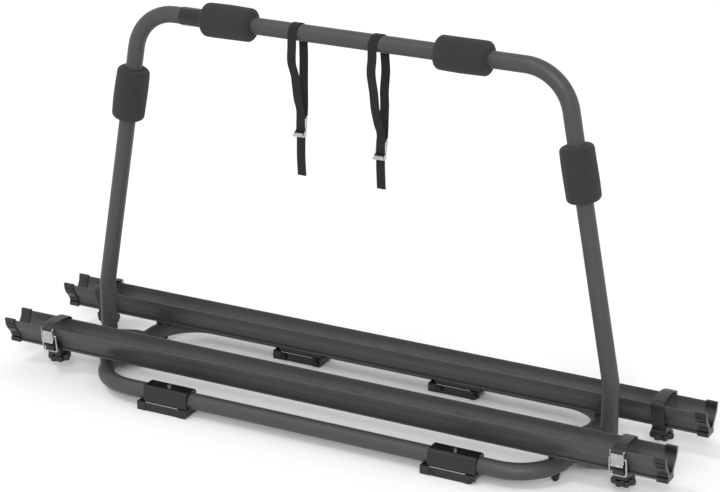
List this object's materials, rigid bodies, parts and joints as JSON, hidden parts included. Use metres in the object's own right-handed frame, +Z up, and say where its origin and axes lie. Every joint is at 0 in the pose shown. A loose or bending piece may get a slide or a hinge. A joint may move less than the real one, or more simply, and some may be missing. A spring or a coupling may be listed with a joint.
{
  "type": "drawbar bike rack",
  "caption": "Tube hoop on a flat tube loop with trough rails for bicycle wheels, sliding clamps for a caravan drawbar, foam pads and straps.",
  "frame": {"origin": "middle of the rack on the plane of the clamps' flat feet", "axes": "+X along the rails, +Y from the front rail to the rear rail, +Z up"},
  "size_m": [1.308, 0.3544, 0.7211],
  "materials": {
    "frame_paint": "satin",
    "rail_coating": "satin dark coating",
    "black_plastic": "matte",
    "gloss_black": "gloss",
    "foam": "matte",
    "webbing": "woven",
    "bright_metal": "satin",
    "dark_metal": "satin",
    "band_rubber": "satin"
  },
  "bodies": {
    "frame": {"hoop_tube": "frame_paint", "base_loop": "frame_paint", "leg_bracket_left": "frame_paint", "leg_bracket_right": "frame_paint", "hoop_sleeve": "gloss_black", "leg_plugs": "black_plastic", "leg_bolts": "bright_metal", "leg_nuts": "bright_metal", "leg_spacers": "frame_paint", "front_rail": "rail_coating", "rear_rail": "rail_coating", "rail_spacers": "black_plastic", "rail_bolts": "bright_metal", "rail_nuts": "dark_metal", "cap_front_left": "black_plastic", "cap_front_right": "black_plastic", "cap_rear_left": "black_plastic", "cap_rear_right": "black_plastic", "pad_leg_left": "foam", "pad_leg_right": "foam", "pad_top_left": "foam", "pad_top_right": "foam", "frame_strap_left": "webbing", "strap_buckle_left": "bright_metal", "frame_strap_right": "webbing", "strap_buckle_right": "bright_metal"},
    "clamp_front_left": {"clamp_saddle_front_left": "gloss_black", "clamp_jaw_front_left": "black_plastic", "clamp_fixings_front_left": "bright_metal"},
    "clamp_front_right": {"clamp_saddle_front_right": "gloss_black", "clamp_jaw_front_right": "black_plastic", "clamp_fixings_front_right": "bright_metal"},
    "clamp_rear_left": {"clamp_saddle_rear_left": "gloss_black", "clamp_jaw_rear_left": "black_plastic", "clamp_fixings_rear_left": "bright_metal"},
    "clamp_rear_right": {"clamp_saddle_rear_right": "gloss_black", "clamp_jaw_rear_right": "black_plastic", "clamp_fixings_rear_right": "bright_metal"},
    "carrier_front_left": {"strap_carrier_front_left": "black_plastic", "strap_band_front_left": "band_rubber"},
    "knob_front_left": {"strap_knob_front_left": "black_plastic"},
    "lever_front_left": {"strap_lever_front_left": "bright_metal"},
    "bail_front_left": {"strap_bail_front_left": "bright_metal"},
    "carrier_front_right": {"strap_carrier_front_right": "black_plastic", "strap_band_front_right": "band_rubber"},
    "knob_front_right": {"strap_knob_front_right": "black_plastic"},
    "lever_front_right": {"strap_lever_front_right": "bright_metal"},
    "bail_front_right": {"strap_bail_front_right": "bright_metal"},
    "carrier_rear_left": {"strap_carrier_rear_left": "black_plastic", "strap_band_rear_left": "band_rubber"},
    "knob_rear_left": {"strap_knob_rear_left": "black_plastic"},
    "lever_rear_left": {"strap_lever_rear_left": "bright_metal"},
    "bail_rear_left": {"strap_bail_rear_left": "bright_metal"},
    "carrier_rear_right": {"strap_carrier_rear_right": "black_plastic", "strap_band_rear_right": "band_rubber"},
    "knob_rear_right": {"strap_knob_rear_right": "black_plastic"},
    "lever_rear_right": {"strap_lever_rear_right": "bright_metal"},
    "bail_rear_right": {"strap_bail_rear_right": "bright_metal"},
    "cam_left": {"strap_cam_left": "bright_metal"},
    "cam_right": {"strap_cam_right": "bright_metal"}
  },
  "joints": [
    {"name": "clamp_slide_front_left", "type": "slide", "parent": "frame", "child": "clamp_front_left", "axis": [1, 0, 0], "range_m": [-0.028, 0.216]},
    {"name": "clamp_slide_front_right", "type": "slide", "parent": "frame", "child": "clamp_front_right", "axis": [1, 0, 0], "range_m": [-0.214, 0.03]},
    {"name": "clamp_slide_rear_left", "type": "slide", "parent": "frame", "child": "clamp_rear_left", "axis": [1, 0, 0], "range_m": [-0.135, 0.109]},
    {"name": "clamp_slide_rear_right", "type": "slide", "parent": "frame", "child": "clamp_rear_right", "axis": [1, 0, 0], "range_m": [-0.079, 0.165]},
    {"name": "carrier_slide_front_left", "type": "slide", "parent": "frame", "child": "carrier_front_left", "axis": [1, 0, 0], "range_m": [-0.055, 0.065]},
    {"name": "knob_turn_front_left", "type": "hinge", "parent": "carrier_front_left", "child": "knob_front_left", "pos_m": [-0.555, -0.097, 0.031], "axis": [0, 0, 1], "continuous": true},
    {"name": "lever_open_front_left", "type": "hinge", "parent": "carrier_front_left", "child": "lever_front_left", "pos_m": [-0.555, -0.1305, 0.09635], "axis": [-1, 0, 0], "range_deg": [0, 120]},
    {"name": "bail_swing_front_left", "type": "hinge", "parent": "lever_front_left", "child": "bail_front_left", "pos_m": [-0.555, -0.1287, 0.08346], "axis": [-1, 0, 0], "range_deg": [0, 60]},
    {"name": "carrier_slide_front_right", "type": "slide", "parent": "frame", "child": "carrier_front_right", "axis": [1, 0, 0], "range_m": [-0.082, 0.038]},
    {"name": "knob_turn_front_right", "type": "hinge", "parent": "carrier_front_right", "child": "knob_front_right", "pos_m": [0.572, -0.097, 0.031], "axis": [0, 0, 1], "continuous": true},
    {"name": "lever_open_front_right", "type": "hinge", "parent": "carrier_front_right", "child": "lever_front_right", "pos_m": [0.572, -0.1305, 0.09635], "axis": [-1, 0, 0], "range_deg": [0, 120]},
    {"name": "bail_swing_front_right", "type": "hinge", "parent": "lever_front_right", "child": "bail_front_right", "pos_m": [0.572, -0.1287, 0.08346], "axis": [-1, 0, 0], "range_deg": [0, 60]},
    {"name": "carrier_slide_rear_left", "type": "slide", "parent": "frame", "child": "carrier_rear_left", "axis": [1, 0, 0], "range_m": [-0.038, 0.082]},
    {"name": "knob_turn_rear_left", "type": "hinge", "parent": "carrier_rear_left", "child": "knob_rear_left", "pos_m": [-0.572, 0.097, 0.031], "axis": [0, 0, 1], "continuous": true},
    {"name": "lever_open_rear_left", "type": "hinge", "parent": "carrier_rear_left", "child": "lever_rear_left", "pos_m": [-0.572, 0.1305, 0.09635], "axis": [1, 0, 0], "range_deg": [0, 120]},
    {"name": "bail_swing_rear_left", "type": "hinge", "parent": "lever_rear_left", "child": "bail_rear_left", "pos_m": [-0.572, 0.1287, 0.08346], "axis": [1, 0, 0], "range_deg": [0, 60]},
    {"name": "carrier_slide_rear_right", "type": "slide", "parent": "frame", "child": "carrier_rear_right", "axis": [1, 0, 0], "range_m": [-0.076, 0.044]},
    {"name": "knob_turn_rear_right", "type": "hinge", "parent": "carrier_rear_right", "child": "knob_rear_right", "pos_m": [0.566, 0.097, 0.031], "axis": [0, 0, 1], "continuous": true},
    {"name": "lever_open_rear_right", "type": "hinge", "parent": "carrier_rear_right", "child": "lever_rear_right", "pos_m": [0.566, 0.1305, 0.09635], "axis": [1, 0, 0], "range_deg": [0, 120]},
    {"name": "bail_swing_rear_right", "type": "hinge", "parent": "lever_rear_right", "child": "bail_rear_right", "pos_m": [0.566, 0.1287, 0.08346], "axis": [1, 0, 0], "range_deg": [0, 60]},
    {"name": "cam_open_left", "type": "hinge", "parent": "frame", "child": "cam_left", "pos_m": [-0.0905, 0.003, 0.506], "axis": [-1, 0, 0], "range_deg": [0, 75]},
    {"name": "cam_open_right", "type": "hinge", "parent": "frame", "child": "cam_right", "pos_m": [0.066, 0.003, 0.488], "axis": [-1, 0, 0], "range_deg": [0, 75]}
  ]
}
